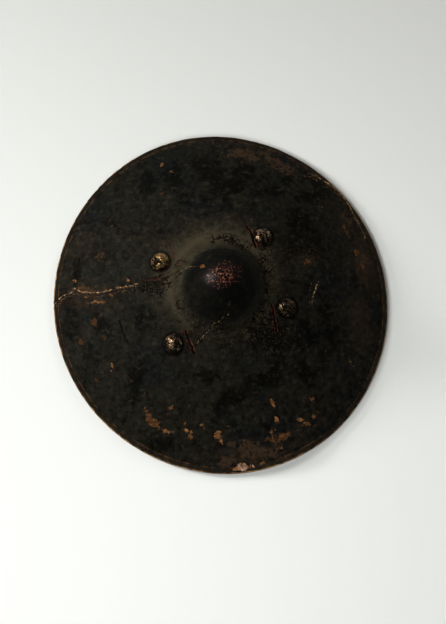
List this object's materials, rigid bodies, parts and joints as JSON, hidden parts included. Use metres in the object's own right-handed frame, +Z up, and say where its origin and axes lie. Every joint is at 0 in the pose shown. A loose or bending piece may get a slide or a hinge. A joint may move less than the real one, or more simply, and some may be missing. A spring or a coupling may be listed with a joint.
{
  "type": "round hide buckler shield",
  "caption": "Round domed shield of black-lacquered moulded hide with a hollow centre boss, domed rivet studs and leather hand straps behind.",
  "frame": {"origin": "on the floor, under the middle of the shield's outline", "axes": "+Z up out of the boss, +Y towards the upper pair of studs, +X towards the right-hand studs"},
  "size_m": [0.5002, 0.5172, 0.126],
  "materials": {
    "lacquered_hide": "worn black lacquer over red on thick hide, crazed, chipped and dusty",
    "aged_brass": "brass under worn dark lacquer, rubbed bright on top",
    "strap_leather": "dry brown leather"
  },
  "bodies": {
    "root": {"shield_hide": "lacquered_hide", "stud_upper_left": "aged_brass", "stud_upper_right": "aged_brass", "stud_lower_left": "aged_brass", "stud_lower_right": "aged_brass", "hand_strap_upper": "strap_leather", "hand_strap_lower": "strap_leather"}
  },
  "joints": []
}
